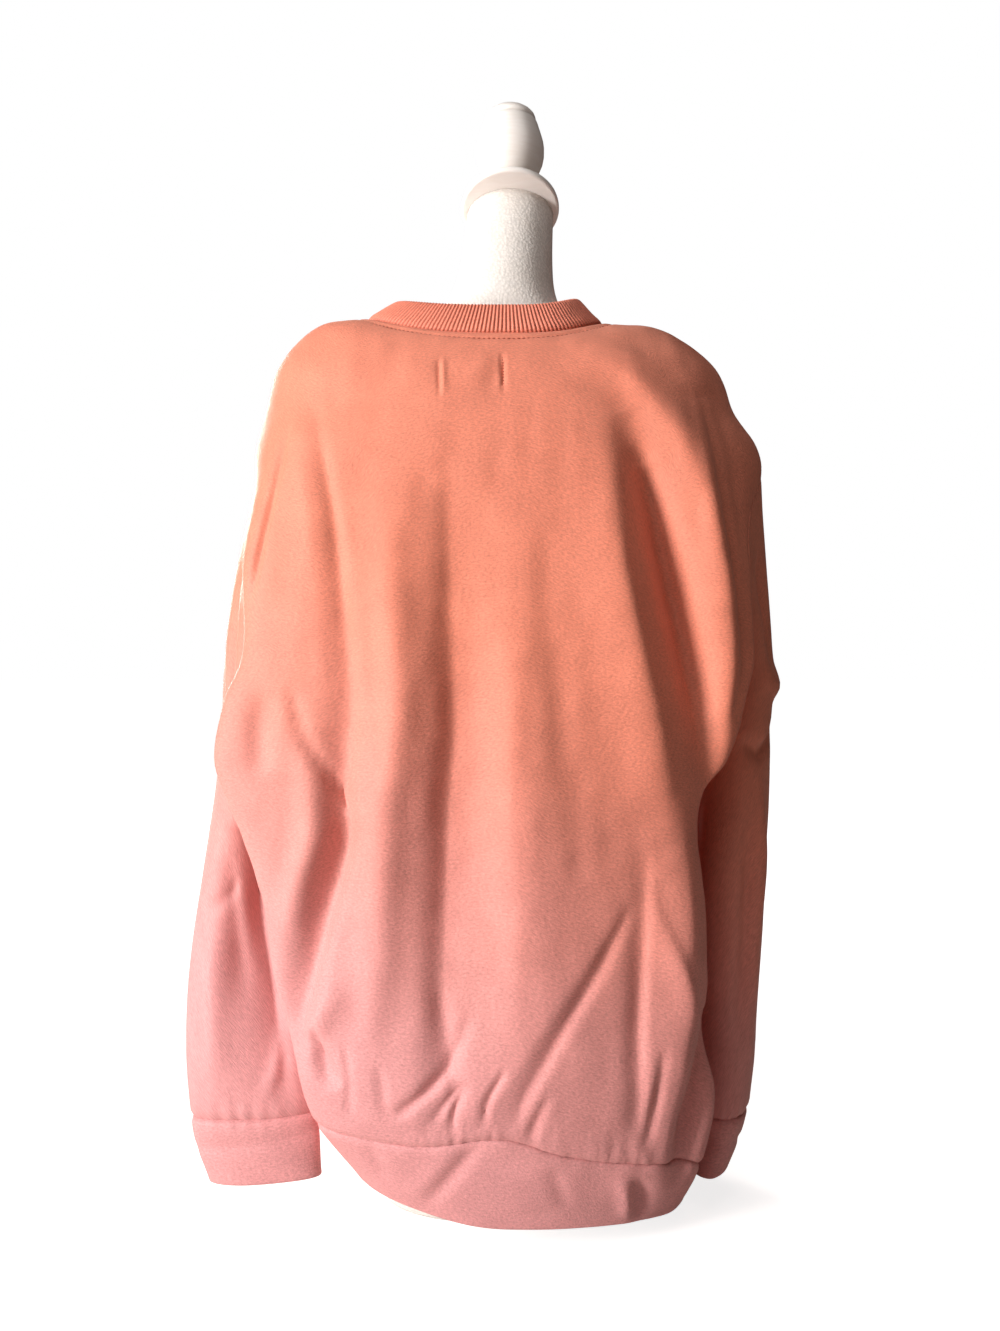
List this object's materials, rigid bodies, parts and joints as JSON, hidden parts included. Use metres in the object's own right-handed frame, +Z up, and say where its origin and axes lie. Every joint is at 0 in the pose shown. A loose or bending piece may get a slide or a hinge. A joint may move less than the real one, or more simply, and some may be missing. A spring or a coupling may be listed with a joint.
{
  "type": "crewneck sweatshirt on a limbless dress form",
  "caption": "Oversized crewneck sweatshirt with dropped shoulders, ribbed neck, cuffs and hem band, worn by a limbless dress form with a slanted neck cap and turned finial.",
  "frame": {"origin": "centre of the dress form's flat underside, on the floor", "axes": "+Z up; +Y out of the wearer's chest; +X to the wearer's right as seen from behind, so the back of the garment faces -Y"},
  "size_m": [0.505, 0.2642, 0.945],
  "materials": {
    "fleece": "brushed fleece jersey, coral at the shoulders fading to dusty pink at the hem",
    "band_knit": "doubled smooth band knit, dusty pink",
    "rib_knit": "one by one rib knit, coral",
    "form_cover": "cream stretch jersey over a hard torso",
    "painted_wood": "turned wood, worn cream paint"
  },
  "bodies": {
    "root": {"back_panel": "fleece", "front_panel": "fleece", "left_sleeve": "fleece", "right_sleeve": "fleece", "left_cuff": "band_knit", "right_cuff": "band_knit", "hem_band": "band_knit", "neck_rib": "rib_knit", "dress_form": "form_cover", "neck_cap": "painted_wood", "finial": "painted_wood"}
  },
  "joints": []
}
